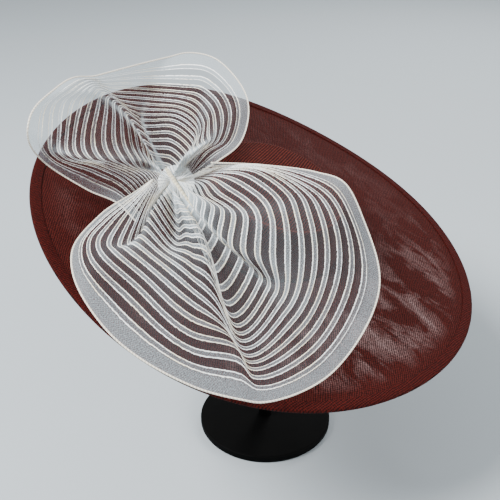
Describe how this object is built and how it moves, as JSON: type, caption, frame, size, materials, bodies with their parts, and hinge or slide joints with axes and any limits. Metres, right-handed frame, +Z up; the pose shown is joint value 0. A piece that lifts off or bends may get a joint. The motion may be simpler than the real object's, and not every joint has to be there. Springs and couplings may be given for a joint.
{
  "type": "wide brim hat on a display stand",
  "caption": "Wide tilted brim hat with a low round crown and a large pleated sheer bow, resting on a plain stand with a round foot.",
  "frame": {"origin": "centre of the stand's round foot, on the surface that it stands on", "axes": "+Z up; seen from -Y, the hat leans down to +X and towards the viewer"},
  "size_m": [0.4375, 0.4606, 0.3954],
  "materials": {
    "black_metal": "satin black paint",
    "black_wood": "matt black stain",
    "burgundy_straw": "glossy woven straw cloth",
    "white_crinoline": "sheer stiff crinoline with stitched tucks"
  },
  "bodies": {
    "root": {"stand_foot": "black_metal", "stand_post": "black_metal", "stand_top": "black_wood", "brim": "burgundy_straw", "brim_binding": "burgundy_straw", "crown": "burgundy_straw", "bow_knot": "white_crinoline", "bow_front_loop": "white_crinoline", "bow_back_loop": "white_crinoline"}
  },
  "joints": []
}
